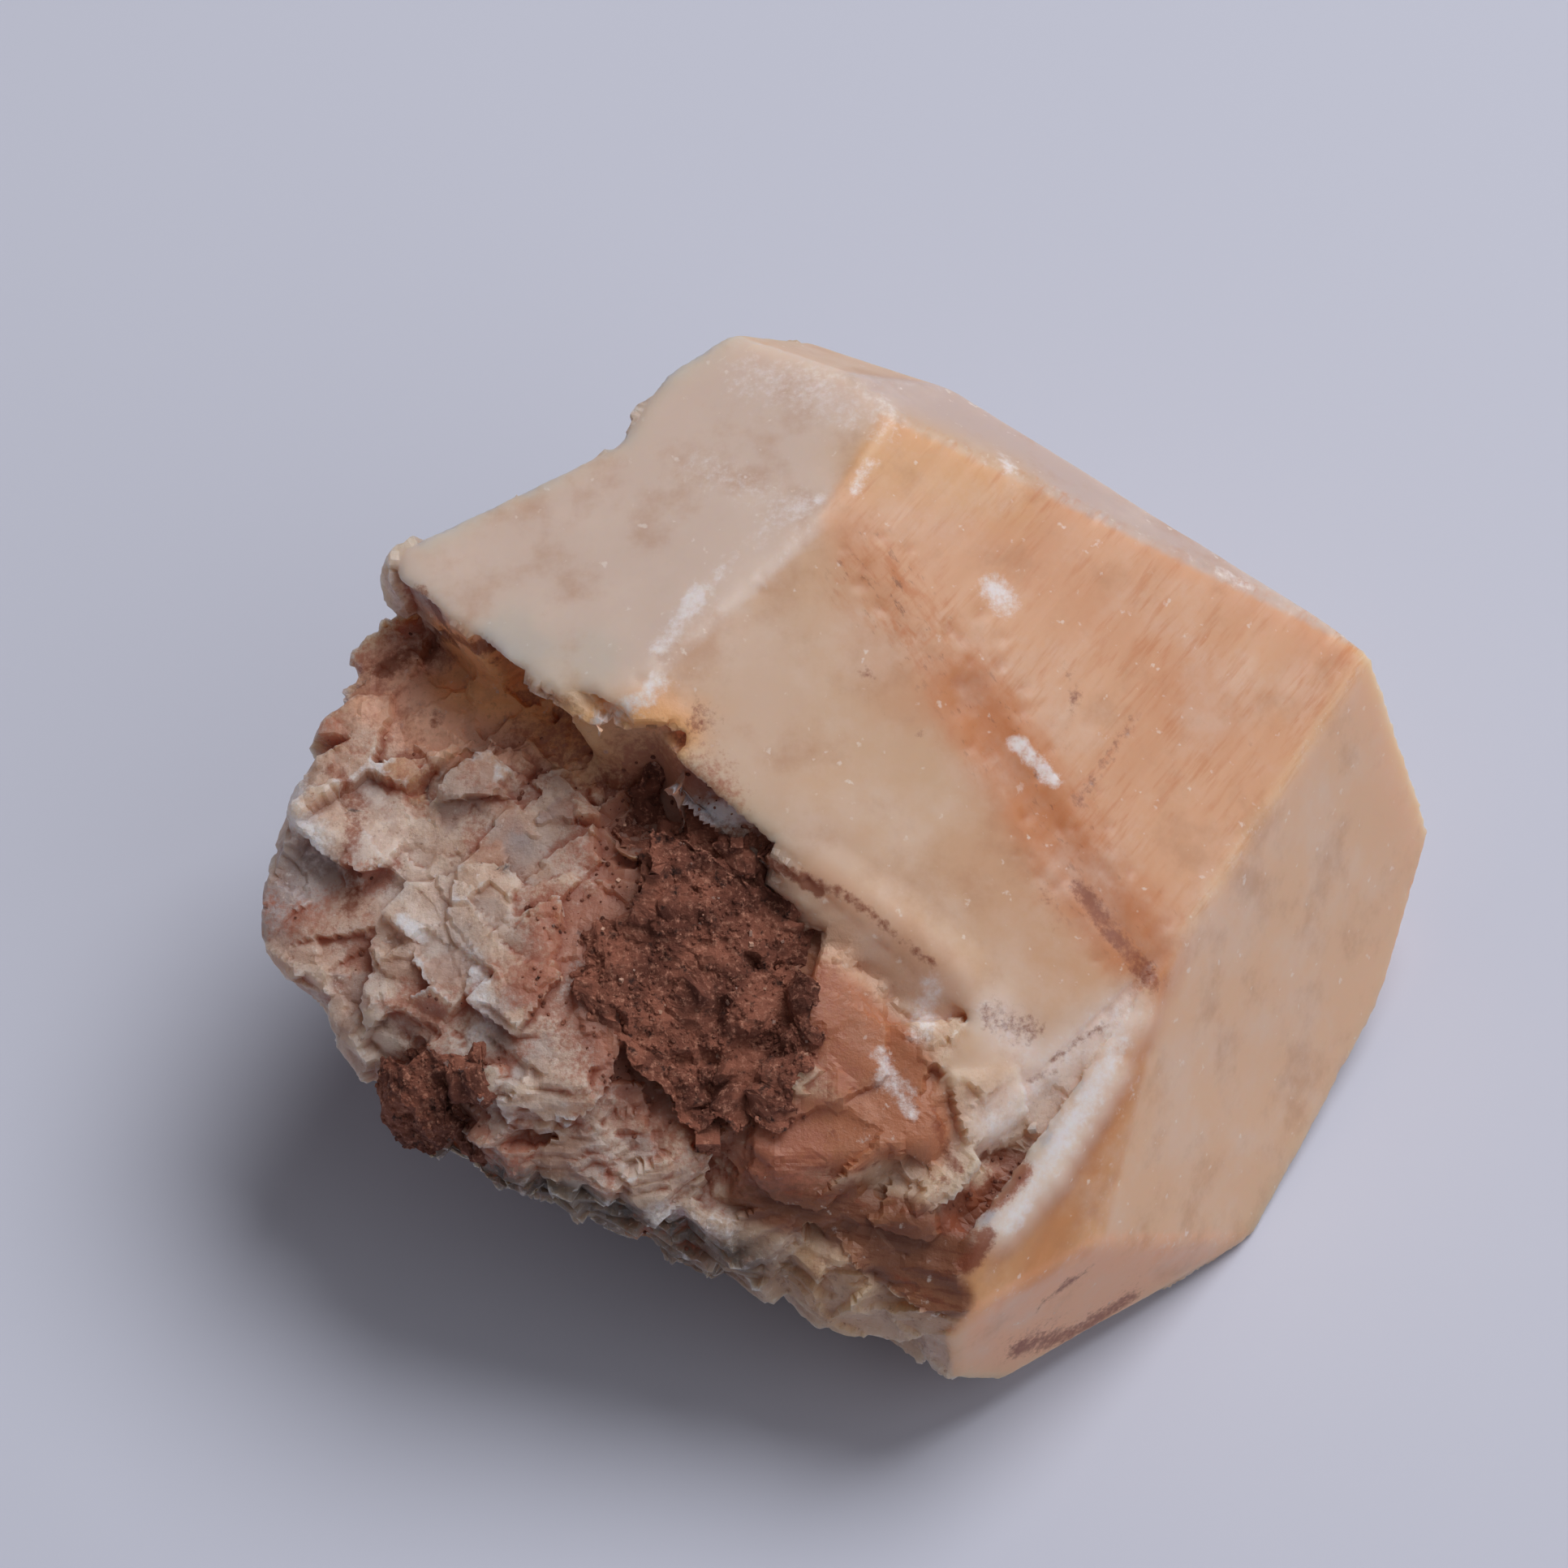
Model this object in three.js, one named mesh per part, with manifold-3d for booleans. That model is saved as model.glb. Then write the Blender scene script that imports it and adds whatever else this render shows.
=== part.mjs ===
// A hand-sized calcite specimen: the flat-faced end of one large honey-coloured crystal, broken
// off at the other end along calcite's three cleavage directions, with dried red clay caught in
// the hollow of the break and on its lower edge.
// Millimetres, +Z up. The specimen lies on its flat resting face; the origin is the middle of its
// bounding box's underside. +X points to the clean crystal end, -Y to the side with the clay.

import * as THREE from "three";
import { MeshSurfaceSampler } from "three/addons/math/MeshSurfaceSampler.js";
import { mergeVertices } from "three/addons/utils/BufferGeometryUtils.js";
import Module from "manifold-3d";

const wasm = await Module();
wasm.setup();

// ---------------------------------------------------------------- driving dimensions

const DEG = Math.PI / 180;
const STOCK = 150; // side of the block that the crystal is cut from
const CUTTER = 600; // side of the block that makes each cut
const CLAY_GAP = 0.4; // clear space between the clay and the calcite round it
const CHIP_SEED = 11;
const CHIP_COUNT = 90;
const CHIP_LENGTH = 7; // how far a chip runs out from its inner corner
const CHIP_CLEARANCE = 2.5; // least distance from a chip's corner to a growth face
const STEP_WALL = new THREE.Vector3(-19, 2, 34); // the foot of the wall at the upper left step
const STEP_WALL_CLEARANCE = 2.5; // least distance from a chip's corner to it

// A face is { azimuth, tilt, reach }: the compass direction it looks to (0 is +X, 90 is +Y), how
// far it leans over (0 is a top, 90 a wall, 180 an underside), and its distance from the middle.
const growthFaces = {
  topLeft: { azimuth: -164, tilt: 7, reach: 43 },
  topFront: { azimuth: -58, tilt: 24.5, reach: 34.4 },
  topRight: { azimuth: -38, tilt: 25.3, reach: 35.6 },
  backBevel: { azimuth: 41, tilt: 38, reach: 45.9 },
  backCorner: { azimuth: 69, tilt: 47, reach: 48.2 },
  backWall: { azimuth: 62, tilt: 92, reach: 28.2 },
  endFace: { azimuth: -33.4, tilt: 68, reach: 34.1 },
  endFoot: { azimuth: -55, tilt: 87, reach: 34.3 },
  endStrip: { azimuth: -49.4, tilt: 53.5, reach: 36 },
  underEnd: { azimuth: -4, tilt: 113, reach: 36.3 },
  underRight: { azimuth: -21, tilt: 131, reach: 27 },
};

const brokenFaces = {
  frontShoulder: { azimuth: -62, tilt: 30.3, reach: 34.9 },
  frontSlope: { azimuth: -87.5, tilt: 30.7, reach: 35 },
  frontWall: { azimuth: -98, tilt: 55, reach: 36.6 },
  frontFoot: { azimuth: -108, tilt: 92, reach: 31 },
  leftSlope: { azimuth: -135, tilt: 34.5, reach: 41.2 },
  backLeftWall: { azimuth: 124, tilt: 87, reach: 31.8 },
  leftWall: { azimuth: 174, tilt: 62, reach: 47.2 },
  leftFront: { azimuth: -130, tilt: 65, reach: 41.5 },
  underFront: { azimuth: -120, tilt: 126, reach: 16.5 },
  underLeft: { azimuth: -150, tilt: 115, reach: 25.4 },
  underNear: { azimuth: -66, tilt: 140, reach: 19.6 },
  underLow: { azimuth: -172, tilt: 140, reach: 6.8 },
  underBackLeft: { azimuth: 155, tilt: 104, reach: 26.8 },
  underBack: { azimuth: 110, tilt: 125, reach: 15 },
};

const restingFace = { azimuth: 0, tilt: 180, reach: 0 };

// The three cleavage planes, as the faces of the rhomb that calcite breaks into.
const cleavage = [
  { azimuth: -132, tilt: 15 },
  { azimuth: -132, tilt: 90 },
  { azimuth: -57.4, tilt: 78.5 },
];

// Hollows broken into the block: each takes away what lies beyond all of its faces at once.
const hollows = {
  step: [
    { azimuth: -132, tilt: 98, reach: 6.7 },
    { azimuth: -140, tilt: 9, reach: 35 },
  ],
  clayPocket: [
    { azimuth: -118, tilt: 97, reach: 6.3 },
    { azimuth: -65, tilt: 30, reach: 30.2 },
    { azimuth: 161, tilt: 85, reach: -0.2 },
  ],
  plateEdge: [
    { azimuth: -123, tilt: 85, reach: 12.3 },
    { azimuth: -61, tilt: 23, reach: 33.5 },
    { azimuth: 150, tilt: 85, reach: -13.9 },
  ],
  bruisedLedge: [
    { azimuth: 142, tilt: 90, reach: -25.4 },
    { azimuth: -49, tilt: 56, reach: 34.8 },
  ],
  backNotch: [
    { azimuth: 152, tilt: 85, reach: 27.5 },
    { azimuth: 117, tilt: 85, reach: 29.8 },
  ],
};

// Lumps of dried clay: centre, half-sizes, and the slope that each lies on.
const pocketClay = { centre: [-10.5, -14.5, 28.2], halfSizes: [10, 14, 3.4], azimuth: -78, tilt: 31 };
const edgeClay = { centre: [-28.6, -20.8, 22.4], halfSizes: [4.2, 4.6, 2.6], azimuth: -122, tilt: 70 };

// ---------------------------------------------------------------- shape helpers

function direction({ azimuth, tilt }) {
  const level = Math.sin(tilt * DEG);
  return new THREE.Vector3(
    level * Math.cos(azimuth * DEG), level * Math.sin(azimuth * DEG), Math.cos(tilt * DEG));
}

function solidOf(geometry) {
  const bare = geometry.clone();
  bare.deleteAttribute("normal");
  bare.deleteAttribute("uv");
  const merged = mergeVertices(bare, 1e-4);
  return new wasm.Manifold(new wasm.Mesh({
    numProp: 3,
    vertProperties: merged.attributes.position.array,
    triVerts: new Uint32Array(merged.index.array),
  }));
}

function geometryOf(solid) {
  const mesh = solid.getMesh();
  return new THREE.BufferGeometry()
    .setAttribute("position", new THREE.BufferAttribute(new Float32Array(mesh.vertProperties), 3))
    .setIndex(new THREE.BufferAttribute(new Uint32Array(mesh.triVerts), 1));
}

// The block of stock on the outer side of a face.
function beyond(face, clearance = 0) {
  const block = new THREE.BoxGeometry(CUTTER, CUTTER, CUTTER);
  block.translate(0, 0, CUTTER / 2 + face.reach + clearance);
  block.applyQuaternion(
    new THREE.Quaternion().setFromUnitVectors(new THREE.Vector3(0, 0, 1), direction(face)));
  return solidOf(block);
}

function cutTo(faces) {
  let solid = solidOf(new THREE.BoxGeometry(STOCK, STOCK, STOCK));
  for (const face of faces) solid = solid.subtract(beyond(face));
  return solid;
}

function beyondAll(faces, clearance = 0) {
  let solid = beyond(faces[0], clearance);
  for (const face of faces.slice(1)) solid = solid.intersect(beyond(face, clearance));
  return solid;
}

// A cleavage rhomb with one corner at a spot and its body on the outward side of it. It runs far
// out along the two rhomb edges that lead most directly outward, and spans a width along the other.
function cleavageRhomb(corner, outward, width) {
  const [a, b, c] = cleavage.map(direction);
  const edges = [
    new THREE.Vector3().crossVectors(b, c),
    new THREE.Vector3().crossVectors(c, a),
    new THREE.Vector3().crossVectors(a, b),
  ];
  for (const edge of edges) edge.normalize().multiplyScalar(Math.sign(edge.dot(outward)) || 1);
  edges.sort((p, q) => q.dot(outward) - p.dot(outward));
  if (edges[0].clone().cross(edges[1]).dot(edges[2]) < 0) edges[2].negate();
  const box = new THREE.BoxGeometry(CHIP_LENGTH, CHIP_LENGTH, width);
  box.translate(CHIP_LENGTH / 2, CHIP_LENGTH / 2, 0);
  box.applyMatrix4(new THREE.Matrix4().makeBasis(...edges).setPosition(corner));
  return solidOf(box);
}

// A seeded stream of numbers from 0 to 1.
function seededRandom(seed) {
  let state = seed;
  return () => {
    state = (state + 0x6d2b79f5) | 0;
    let mixed = Math.imul(state ^ (state >>> 15), 1 | state);
    mixed = (mixed + Math.imul(mixed ^ (mixed >>> 7), 61 | mixed)) ^ mixed;
    return ((mixed ^ (mixed >>> 14)) >>> 0) / 4294967296;
  };
}

// A lump with an uneven, crumbly surface.
function clayLump({ centre, halfSizes, azimuth, tilt }) {
  const lump = new THREE.IcosahedronGeometry(1, 9);
  lump.deleteAttribute("normal");
  lump.deleteAttribute("uv");
  const shape = mergeVertices(lump, 1e-4);
  const points = shape.attributes.position;
  const point = new THREE.Vector3();
  for (let i = 0; i < points.count; i += 1) {
    point.fromBufferAttribute(points, i);
    const swell = Math.sin(5.1 * point.x + 1.3) * Math.sin(4.7 * point.y - 0.6) * 0.5
      + Math.sin(11.3 * point.x - 9.2 * point.y + 2.1) * 0.3
      + Math.sin(17.9 * point.y + 13.7 * point.x) * 0.2;
    point.multiplyScalar(1 + 0.13 * swell);
    points.setXYZ(i, point.x, point.y, point.z);
  }
  shape.scale(...halfSizes);
  shape.applyQuaternion(new THREE.Quaternion().setFromUnitVectors(
    new THREE.Vector3(0, 0, 1), direction({ azimuth, tilt })));
  shape.translate(...centre);
  return solidOf(shape);
}

// ---------------------------------------------------------------- the calcite

const growthPlanes = [...Object.values(growthFaces), restingFace].map((face) => ({
  normal: direction(face),
  reach: face.reach,
}));

function nearGrowthFace(point) {
  return growthPlanes.some(({ normal, reach }) => reach - normal.dot(point) < CHIP_CLEARANCE);
}

function meshNamed(name, solid, color, roughness) {
  const material = new THREE.MeshStandardMaterial({ color, roughness, metalness: 0 });
  const mesh = new THREE.Mesh(geometryOf(solid), material);
  mesh.name = name;
  return mesh;
}

let crystal = cutTo([...Object.values(growthFaces), ...Object.values(brokenFaces), restingFace]);
for (const faces of Object.values(hollows)) crystal = crystal.subtract(beyondAll(faces));

// Small cleavage rhombs missing all over the broken surfaces leave them stepped.
const random = seededRandom(CHIP_SEED);
const smooth = new THREE.Mesh(geometryOf(crystal).toNonIndexed());
const sampler = new MeshSurfaceSampler(smooth).setRandomGenerator(random).build();
const spot = new THREE.Vector3();
const outward = new THREE.Vector3();
let chips = 0;
while (chips < CHIP_COUNT) {
  sampler.sample(spot, outward);
  if (nearGrowthFace(spot)) continue;
  const width = 3 + 8 * random() ** 2;
  spot.addScaledVector(outward, -0.5 - 1.1 * random() ** 2);
  if (spot.distanceTo(STEP_WALL) > STEP_WALL_CLEARANCE) {
    crystal = crystal.subtract(cleavageRhomb(spot, outward, width));
  }
  chips += 1;
}
crystal = crystal.decompose().sort((a, b) => b.volume() - a.volume())[0];

// ---------------------------------------------------------------- the clay

const inPocket = clayLump(pocketClay).intersect(beyondAll(hollows.clayPocket, CLAY_GAP));

const outsideEdge = beyond(brokenFaces.leftFront, CLAY_GAP)
  .add(beyond(brokenFaces.frontFoot, CLAY_GAP))
  .add(beyond(brokenFaces.underLeft, CLAY_GAP));
const onEdge = clayLump(edgeClay).intersect(outsideEdge);

const specimen = new THREE.Group();
specimen.add(
  meshNamed("calcite_crystal", crystal, 0xc4a184, 0.45),
  meshNamed("clay_in_hollow", inPocket, 0x7a4c37, 0.95),
  meshNamed("clay_on_edge", onEdge, 0x6b4433, 0.95),
);

// The middle of the bounding box's underside becomes the origin.
const box = new THREE.Box3().setFromObject(specimen);
const middle = box.getCenter(new THREE.Vector3());
for (const piece of specimen.children) piece.geometry.translate(-middle.x, -middle.y, -box.min.z);

export default specimen;
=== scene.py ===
import math

import bmesh
import bpy
import numpy as np
from mathutils import Matrix, Vector, kdtree


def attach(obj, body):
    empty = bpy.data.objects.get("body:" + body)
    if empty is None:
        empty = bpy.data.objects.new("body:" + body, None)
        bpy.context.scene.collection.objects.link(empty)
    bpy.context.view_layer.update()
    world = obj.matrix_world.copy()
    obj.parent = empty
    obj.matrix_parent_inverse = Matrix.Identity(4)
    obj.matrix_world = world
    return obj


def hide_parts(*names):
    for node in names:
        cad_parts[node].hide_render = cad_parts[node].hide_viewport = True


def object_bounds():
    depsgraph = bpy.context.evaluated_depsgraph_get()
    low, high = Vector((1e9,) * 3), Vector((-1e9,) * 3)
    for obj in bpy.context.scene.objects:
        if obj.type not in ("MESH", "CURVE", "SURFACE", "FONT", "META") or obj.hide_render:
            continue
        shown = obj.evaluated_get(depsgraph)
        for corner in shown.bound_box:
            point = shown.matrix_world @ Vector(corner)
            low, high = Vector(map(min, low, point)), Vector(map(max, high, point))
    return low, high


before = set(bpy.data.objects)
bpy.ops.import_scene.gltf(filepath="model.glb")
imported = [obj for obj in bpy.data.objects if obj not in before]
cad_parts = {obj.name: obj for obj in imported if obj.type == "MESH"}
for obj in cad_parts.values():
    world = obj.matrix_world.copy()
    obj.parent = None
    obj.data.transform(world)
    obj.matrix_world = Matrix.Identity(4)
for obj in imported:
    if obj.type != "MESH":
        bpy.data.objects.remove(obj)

# A calcite specimen: one honey-coloured crystal with a broken side, and red clay in its hollow.
# Lengths in this script are millimetres until a mesh, a finish or a light is made.

cad_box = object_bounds()
MM = 0.001
low, high = np.array(cad_box[0]) / MM, np.array(cad_box[1]) / MM
span = high - low

GRAIN = 0.36  # spacing of the points on the stone's surface
KEPT_SHARE = 0.62  # share of the stone's triangles left when its smooth faces are thinned
CLAY_GRAIN = 0.28
SEED = 7
FACE_SKIN, FACE_FADE = 0.25, 0.6  # how far under a smooth face a point still belongs to it
EDGE_BAND = 1.2  # how far from a smooth face's edge its nicks and chalk reach
FACET_COVER = 1.3  # facets laid out for each facet that fits in the break
FACET_SWAY, FACET_STRETCH = 0.07, 1.7  # how far their borders wander, and how long they are drawn
ODD_SHARE = 0.35  # share of the facets that don't lie along the cleavage
CHIP_SIZES = ((3.4, 46), (2.0, 120), (1.1, 160))  # the broken-out rhombs: each size and how many
DEEPEST = 0.8  # the most that the chips together may take off
THINNEST = 1.2  # how near the break may come to a smooth face from behind
HACKLE_DEPTH = 0.12
NICKS, NICK_SIZES, NICK_DEPTH = 130, (0.35, 0.9), 0.16  # the depth is a share of the size
GROOVE_WIDTH, GROOVE_DEPTH = 2.2, 0.3
CLAY_ROOT = 0.35  # how deep the clay's skin is sunk into the stone


def place(u, v, w):
    """A position from its fractions of the specimen's box."""
    return low + span * np.array([u, v, w])


def looking(azimuth, tilt):
    """The unit vector towards a compass direction (0 is +X), leaning over from straight up."""
    a, t = math.radians(azimuth), math.radians(tilt)
    return np.array([math.sin(t) * math.cos(a), math.sin(t) * math.sin(a), math.cos(t)])


# The smooth crystal faces, and the planes that the stone breaks along.
crystal_faces = {
    "milky_top": looking(-164, 7),
    "clear_front": looking(-58, 24.5),
    "striped_right": looking(-38, 25.3),
    "back_bevel": looking(41, 38),
    "back_corner": looking(69, 47),
    "back_wall": looking(62, 92),
    "smooth_end": looking(-33.4, 68),
    "end_foot": looking(-55, 87),
    "end_strip": looking(-49.4, 53.5),
    "under_end": looking(-4, 113),
    "under_right": looking(-21, 131),
    "resting": looking(0, 180),
}
cleavage = [looking(-132, 15), looking(-132, 90), looking(-57.4, 78.5)]


# ------------------------------------------------------------------ noise and blending


def hashed(cells, seed):
    """A repeatable number from 0 to 1 for each lattice cell."""
    x, y, z = (cells[..., i].astype(np.int64).astype(np.uint32) for i in range(3))
    mixed = x * np.uint32(73856093) ^ y * np.uint32(19349663) ^ z * np.uint32(83492791)
    mixed ^= np.uint32((seed * 2654435761) % 4294967296)
    mixed = (mixed ^ (mixed >> np.uint32(15))) * np.uint32(2246822519)
    mixed = (mixed ^ (mixed >> np.uint32(13))) * np.uint32(3266489917)
    return (mixed ^ (mixed >> np.uint32(16))) / 4294967295.0


def cloud(points, size, seed=0):
    """Smooth noise from -1 to 1 with features of a given size."""
    grid = points / size + 1000.0
    cell = np.floor(grid)
    part = grid - cell
    part = part * part * (3 - 2 * part)
    total = np.zeros(len(points))
    for corner in np.ndindex(2, 2, 2):
        offset = np.array(corner)
        weight = np.prod(np.where(offset == 1, part, 1 - part), axis=1)
        total += weight * hashed(cell + offset, seed + SEED)
    return 2 * total - 1


def rough(points, size, octaves, seed=0):
    """Noise with finer and finer detail, about -1 to 1."""
    total, strength, norm = np.zeros(len(points)), 1.0, 0.0
    for octave in range(octaves):
        total += strength * cloud(points, size / 2**octave, seed + 17 * octave)
        norm += strength
        strength *= 0.55
    return total / norm * 1.6


def ramp(value, start, end):
    """0 before start, 1 after end, smooth between."""
    t = np.clip((value - start) / (end - start), 0, 1)
    return t * t * (3 - 2 * t)


def along(points, direction, stretch):
    """Points squeezed along a direction, so that noise read from them is drawn out that way."""
    direction = direction / np.linalg.norm(direction)
    return points - np.outer(points @ direction, direction) * (1 - 1 / stretch)


# ------------------------------------------------------------------ meshes as arrays


def points_of(mesh):
    flat = np.empty(len(mesh.vertices) * 3)
    mesh.vertices.foreach_get("co", flat)
    return flat.reshape(-1, 3) / MM


def normals_of(mesh):
    flat = np.empty(len(mesh.vertices) * 3)
    mesh.vertex_normals.foreach_get("vector", flat)
    return flat.reshape(-1, 3)


def move_points(mesh, points):
    mesh.vertices.foreach_set("co", (points * MM).ravel())
    mesh.update()


def edges_of(mesh):
    flat = np.empty(len(mesh.edges) * 2, dtype=np.int32)
    mesh.edges.foreach_get("vertices", flat)
    return flat.reshape(-1, 2)


def corners_of(mesh):
    """The point at each corner of each face."""
    flat = np.empty(len(mesh.loops), dtype=np.int32)
    mesh.loops.foreach_get("vertex_index", flat)
    return flat


def eased(values, edges, rounds):
    """Values at the points, averaged with their neighbours a number of times."""
    columns = values.reshape(len(values), -1).copy()
    count = np.bincount(edges.ravel(), minlength=len(values))
    ends, starts = edges.ravel(), edges[:, ::-1].ravel()
    for _ in range(rounds):
        for column in columns.T:
            total = np.bincount(ends, weights=column[starts], minlength=len(values))
            column[:] = 0.5 * column + 0.5 * total / count
    return columns.reshape(values.shape)


def unit(vectors):
    return vectors / np.linalg.norm(vectors, axis=1, keepdims=True)


def keep_value(mesh, name, values):
    attribute = mesh.attributes.new(name, "FLOAT", "POINT")
    attribute.data.foreach_set("value", values.astype(np.float32))


def keep_colour(mesh, name, colours):
    attribute = mesh.color_attributes.new(name, "FLOAT_COLOR", "POINT")
    filled = np.ones((len(colours), 4), dtype=np.float32)
    filled[:, :3] = colours
    attribute.data.foreach_set("color", filled.ravel())


def plain_mesh(piece):
    """The piece's mesh with its modifiers applied."""
    graph = bpy.context.evaluated_depsgraph_get()
    return bpy.data.meshes.new_from_object(piece.evaluated_get(graph))


def new_piece(name, mesh):
    piece = bpy.data.objects.new(name, mesh)
    bpy.context.scene.collection.objects.link(piece)
    return piece


def remeshed(mesh, spacing, blocks=()):
    """A closed copy of a mesh with evenly spaced points, grown together with some blocks."""
    copy = mesh.copy()
    shell = bmesh.new()
    shell.from_mesh(copy)
    bmesh.ops.remove_doubles(shell, verts=shell.verts, dist=1e-6)
    for block in blocks:
        bmesh.ops.create_cube(shell, size=1.0, matrix=block)
    shell.to_mesh(copy)
    shell.free()
    piece = new_piece("blank", copy)
    modifier = piece.modifiers.new("even", "REMESH")
    modifier.mode = "VOXEL"
    modifier.voxel_size = spacing * MM
    modifier.use_smooth_shade = True
    bpy.context.view_layer.update()
    even = plain_mesh(piece)
    bpy.data.objects.remove(piece)
    return even


def finder_of(points):
    finder = kdtree.KDTree(len(points))
    for index, point in enumerate(points):
        finder.insert(point, index)
    finder.balance()
    return finder


# ------------------------------------------------------------------ the stone's surface

# The three directions in which two cleavage planes meet.
edge_lines = unit(np.array([np.cross(cleavage[i - 2], cleavage[i - 1]) for i in range(3)]))


def moved_to(spot):
    """The matrix that carries a shape to a position."""
    return Matrix.Translation(Vector(spot * MM))


def sized(sizes):
    """The matrix that gives a unit cube its sizes."""
    return Matrix.Diagonal((*(size * MM for size in sizes), 1.0))


def standing_rhomb(middle, tall, long, wide, lean=0.0):
    """A cleavage rhomb's place and shape: its sizes along the three cleavage edges."""
    basis = Matrix.Identity(4)
    for column, (line, size) in enumerate(zip(edge_lines, (tall, long, wide))):
        for row in range(3):
            basis[row][column] = line[row] * size * MM
    turn = Matrix.Rotation(math.radians(lean), 4, Vector(edge_lines[1]))
    return moved_to(place(*middle)) @ turn @ basis


def plain_block(middle, sizes, heading, lean):
    """A square-cornered block's place and shape, turned to a heading and leaning back."""
    tipped = Matrix.Rotation(math.radians(-lean), 4, "X")
    turn = Matrix.Rotation(math.radians(heading), 4, "Z") @ tipped
    return moved_to(place(*middle)) @ turn @ sized(sizes)


def cap_block(spot, face, sizes):
    """A block's place and shape, its top flush with a smooth face over a spot."""
    direction, spot = crystal_faces[face], place(*spot)
    level = (points_of(bpy.data.objects["calcite_crystal"].data) @ direction).max()
    hair_under = 0.05
    middle = spot + direction * (level - spot @ direction - hair_under - sizes[2] / 2)
    turn = Vector(direction).to_track_quat("Z", "Y").to_matrix().to_4x4()
    return moved_to(middle) @ turn @ sized(sizes)


# Rhombs and splinters that stand proud in the ridge beside the step and beside the clay,
# and the blocks that build out the corner between the step, the clay and the clear front.
proud_rhombs = [
    standing_rhomb((0.15, 0.53, 0.68), 4.2, 4.0, 3.4, 14),
    standing_rhomb((0.19, 0.535, 0.71), 5.2, 1.3, 1.2, -8),
    standing_rhomb((0.18, 0.49, 0.69), 5.0, 4.2, 3.0, -10),
    standing_rhomb((0.225, 0.51, 0.70), 4.6, 3.4, 4.0, 8),
    standing_rhomb((0.25, 0.47, 0.70), 4.4, 4.6, 2.6, 16),
    standing_rhomb((0.285, 0.46, 0.71), 1.1, 3.6, 2.2, 30),
    standing_rhomb((0.285, 0.42, 0.71), 2.6, 3.2, 3.4, 20),
    standing_rhomb((0.26, 0.39, 0.69), 3.2, 3.0, 3.0, -6),
    standing_rhomb((0.13, 0.345, 0.64), 3.4, 2.2, 2.8, 10),
    standing_rhomb((0.20, 0.39, 0.68), 3.6, 3.8, 2.6, -14),
    standing_rhomb((0.17, 0.33, 0.66), 3.0, 2.6, 3.2, 24),
    standing_rhomb((0.06, 0.47, 0.66), 4.4, 3.6, 3.0, 6),
    standing_rhomb((0.31, 0.335, 0.70), 1.6, 2.4, 2.8, 22),
    plain_block((0.330, 0.530, 0.800), (7.0, 5.0, 7.2), -14, 16),
    plain_block((0.358, 0.500, 0.780), (5.0, 5.0, 8.0), 24, 10),
    cap_block((0.356, 0.519, 0.90), "clear_front", (3.4, 3.4, 4.0)),
]

stone_mesh = remeshed(bpy.data.objects["calcite_crystal"].data, GRAIN, proud_rhombs)
stone_edges = edges_of(stone_mesh)
surface = eased(points_of(stone_mesh), stone_edges, 2)
move_points(stone_mesh, surface)
outward = unit(eased(normals_of(stone_mesh), stone_edges, 3))
first_surface = surface.copy()
finder = finder_of(first_surface)


def near(path, radius, step=0.4):
    """How near each point is to a path laid over the surface: 1 on it, 0 at the radius."""
    stops = []
    for start, end in zip(path, path[1:] or path):
        start, end = place(*start), place(*end)
        count = max(2, int(np.linalg.norm(end - start) / step))
        for t in np.linspace(0, 1, count):
            stops.append(finder.find(start + (end - start) * t)[0])
    stops = np.array(stops)
    inside = np.all(first_surface > stops.min(0) - radius, axis=1)
    inside &= np.all(first_surface < stops.max(0) + radius, axis=1)
    nearness = np.zeros(len(first_surface))
    if inside.any():
        gaps = np.full(inside.sum(), np.inf)
        for stop in stops:
            gaps = np.minimum(gaps, np.linalg.norm(first_surface[inside] - stop, axis=1))
        nearness[inside] = np.clip(1 - gaps / radius, 0, 1)
    return nearness


def patch(*strokes):
    """A soft patch from several paths, each with its radius: 1 inside, fading to 0."""
    return np.max([ramp(near(path, radius), 0, 0.9) for path, radius in strokes], axis=0)


def marked(strokes):
    """The strongest of several strokes at each point: each has a path, a radius and a strength."""
    return np.max([patch((path, radius)) * strength for path, radius, strength in strokes], axis=0)


# How much each point belongs to each smooth face, and to the break.
depth_under = {n: (first_surface @ v).max() - first_surface @ v for n, v in crystal_faces.items()}
on_face = {name: 1 - ramp(depth, FACE_SKIN, FACE_FADE) for name, depth in depth_under.items()}
broken = 1 - np.max(list(on_face.values()), axis=0)
second_depth = np.sort(np.array(list(depth_under.values())), axis=0)[1]
on_edge = (1 - ramp(second_depth, 0.0, EDGE_BAND)) * (1 - broken)

surface += (eased(surface, stone_edges, 6) - surface) * (1 - broken)[:, None]

# ------------------------------------------------------------------ breaking the stone

removed = np.zeros(len(surface))


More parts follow.
